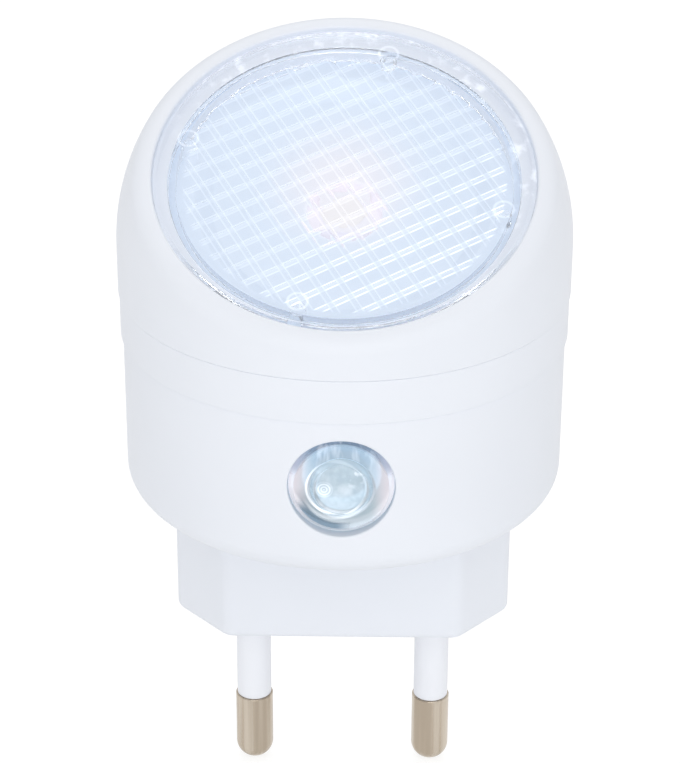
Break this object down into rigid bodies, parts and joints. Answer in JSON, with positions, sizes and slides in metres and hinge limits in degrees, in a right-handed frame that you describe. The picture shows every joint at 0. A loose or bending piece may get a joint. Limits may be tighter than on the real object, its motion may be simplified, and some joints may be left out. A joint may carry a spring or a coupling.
{
  "type": "plug-in night light",
  "caption": "Round plug-in night light: flat two-pin plug, cylindrical base with a light sensor, and a domed swivelling head with a slanted clear prism lens.",
  "frame": {"origin": "centre of the plug block's engagement face, midway between the two pins", "axes": "+Z away from the socket along the body's axis, the pins point to -Z; -Y is the front, where the sensor and the slanted lens face; +X to the right seen from the front"},
  "size_m": [0.0456, 0.0456, 0.0806],
  "materials": {
    "housing_white": "satin moulded ABS, bluish white",
    "inner_white": "plain moulded nylon",
    "sleeve_white": "moulded insulating sleeve",
    "pin_nickel": "nickel-plated brass",
    "strip_bronze": "stamped phosphor bronze",
    "screw_steel": "zinc-plated steel",
    "circuit_board": "bare phenolic board with printed traces below",
    "film_red": "dipped film capacitor",
    "chip_black": "moulded epoxy",
    "can_sleeve": "shrink-sleeved aluminium can",
    "fuse_coat": "flameproof coating",
    "resistor_coat": "lacquered film resistor",
    "diode_glass": "small glass diode",
    "clear_plastic": "clear polycarbonate with a bluish tint",
    "sensor_clear": "clear epoxy",
    "tinned_lead": "tinned wire",
    "washer_nylon": "natural nylon",
    "retainer_plate": "stamped steel",
    "reflector_white": "glossy white moulding",
    "led_board_metal": "aluminium board with a white mask",
    "led_body": "white LED package",
    "led_yellow": "phosphor in clear silicone",
    "lead_sheath": "soft PVC sheath over two cores"
  },
  "bodies": {
    "base": {"base_housing": "housing_white", "base_cover": "inner_white", "pin_clamp": "inner_white", "sensor_hood": "inner_white", "pin_sleeve_left": "sleeve_white", "pin_sleeve_right": "sleeve_white", "contact_pin_left": "pin_nickel", "contact_pin_right": "pin_nickel", "contact_strip_left": "strip_bronze", "contact_strip_right": "strip_bronze", "clamp_screw": "screw_steel", "board_screws": "screw_steel", "case_screws": "screw_steel", "retainer_screws": "screw_steel", "driver_board": "circuit_board", "dropper_capacitor": "film_red", "bridge_rectifier": "chip_black", "switch_transistor": "chip_black", "smoothing_capacitor": "can_sleeve", "fuse_resistor": "fuse_coat", "bleeder_resistor": "resistor_coat", "limiting_resistor": "resistor_coat", "zener_diode": "diode_glass", "sensor_window": "clear_plastic", "light_sensor": "sensor_clear", "sensor_leads": "tinned_lead", "swivel_retainer": "retainer_plate", "lamp_lead_lower": "lead_sheath"},
    "head": {"swivel_collar": "housing_white", "friction_washer": "washer_nylon", "head_housing": "housing_white", "lens": "clear_plastic", "reflector": "reflector_white", "led_board": "led_board_metal", "led_package": "led_body", "led_phosphor": "led_yellow", "led_board_screws": "screw_steel", "lamp_lead_upper": "lead_sheath"}
  },
  "joints": [
    {"name": "head_swivel", "type": "hinge", "parent": "base", "child": "head", "pos_m": [0, 0, 0.0352], "axis": [0, 0, 1], "range_deg": [-165, 165]}
  ]
}
